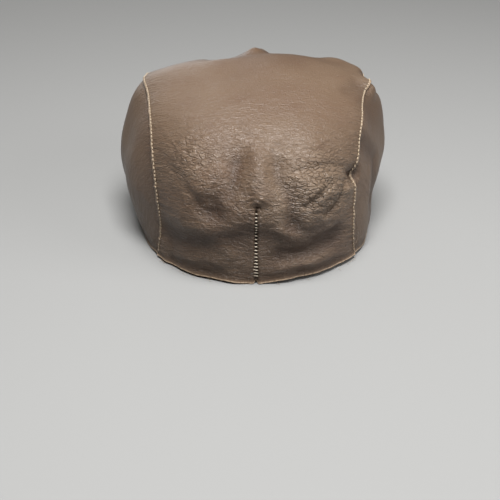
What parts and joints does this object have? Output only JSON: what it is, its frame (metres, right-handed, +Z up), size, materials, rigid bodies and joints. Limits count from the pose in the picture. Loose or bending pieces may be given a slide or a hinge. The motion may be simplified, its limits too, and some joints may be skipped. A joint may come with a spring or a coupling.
{
  "type": "flat cap",
  "caption": "Soft leather flat cap with a wide centre panel, lapped side panels, a stitched back dart, a stiff visor, a sweatband and a lining.",
  "frame": {"origin": "centre of the head opening, in the plane of the rim", "axes": "+Z up through the crown, -Y forward towards the visor, +Y towards the back dart, +X towards the wearer's left"},
  "size_m": [0.2078, 0.2682, 0.1323],
  "materials": {
    "crown_leather": "soft, lightly grained",
    "side_leather_left": "soft, lightly grained",
    "side_leather_right": "soft, lightly grained",
    "seam_thread_left": "waxed thread",
    "seam_thread_right": "waxed thread",
    "dart_thread": "waxed thread",
    "dart_tape": "woven tape",
    "visor_top_leather": "soft, lightly grained",
    "visor_bottom_leather": "soft, lightly grained",
    "visor_board": "plain board",
    "visor_edge_thread": "waxed thread",
    "crown_front_thread": "waxed thread",
    "sweatband_leather": "soft, lightly grained",
    "sweatband_join_leather": "soft, lightly grained",
    "sweatband_thread": "waxed thread",
    "lining_centre_satin": "satin",
    "lining_left_satin": "satin",
    "lining_right_satin": "satin",
    "size_tab_cloth": "blank woven cloth"
  },
  "bodies": {
    "root": {"crown_panel": "crown_leather", "side_panel_left": "side_leather_left", "side_panel_right": "side_leather_right", "seam_thread_left": "seam_thread_left", "seam_thread_right": "seam_thread_right", "dart_thread": "dart_thread", "dart_tape": "dart_tape", "visor_top_cover": "visor_top_leather", "visor_bottom_cover": "visor_bottom_leather", "visor_board": "visor_board", "visor_edge_thread": "visor_edge_thread", "crown_front_thread": "crown_front_thread", "sweatband": "sweatband_leather", "sweatband_join": "sweatband_join_leather", "sweatband_thread": "sweatband_thread", "lining_centre": "lining_centre_satin", "lining_left": "lining_left_satin", "lining_right": "lining_right_satin", "size_tab": "size_tab_cloth"}
  },
  "joints": []
}
